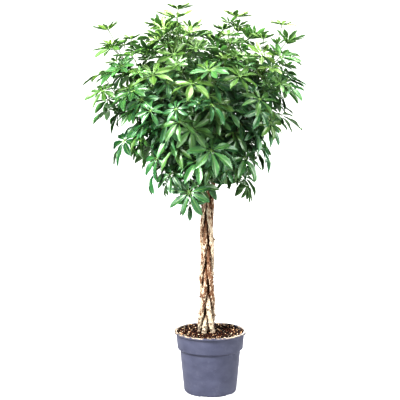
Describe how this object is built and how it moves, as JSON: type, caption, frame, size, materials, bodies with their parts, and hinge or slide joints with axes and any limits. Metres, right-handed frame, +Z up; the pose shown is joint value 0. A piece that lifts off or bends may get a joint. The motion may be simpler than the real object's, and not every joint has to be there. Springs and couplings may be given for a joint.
{
  "type": "potted umbrella plant",
  "caption": "Umbrella plant with a round head of palmate leaves on a plaited woody trunk, standing in a filled plastic nursery pot, for decorating a room.",
  "frame": {"origin": "middle of the pot's flat underside, on the surface it stands on", "axes": "+Z up along the trunk, -Y towards the viewer of the picture, +X to the viewer's right"},
  "size_m": [0.8311, 0.8513, 1.4899],
  "materials": {
    "pot": "moulded slate-grey plastic with a soft sheen",
    "soil": "damp, crumbly potting soil with pale bits",
    "bark": "pale tan bark with leaf scars",
    "leaf": "glossy green leaf"
  },
  "bodies": {
    "root": {"pot": "pot", "soil": "soil", "stem_1": "bark", "stem_2": "bark", "stem_3": "bark", "stem_4": "bark", "stem_5": "bark", "leafy_shoot_01": "leaf", "leafy_shoot_02": "leaf", "leafy_shoot_03": "leaf", "leafy_shoot_04": "leaf", "leafy_shoot_05": "leaf", "leafy_shoot_06": "leaf", "leafy_shoot_07": "leaf", "leafy_shoot_08": "leaf", "leafy_shoot_09": "leaf", "leafy_shoot_10": "leaf", "leafy_shoot_11": "leaf", "leafy_shoot_12": "leaf", "leafy_shoot_13": "leaf", "leafy_shoot_14": "leaf", "leafy_shoot_15": "leaf", "leafy_shoot_16": "leaf", "leafy_shoot_17": "leaf", "leafy_shoot_18": "leaf", "leafy_shoot_19": "leaf", "leafy_shoot_20": "leaf", "leafy_shoot_21": "leaf", "leafy_shoot_22": "leaf", "leafy_shoot_23": "leaf", "leafy_shoot_24": "leaf"}
  },
  "joints": []
}
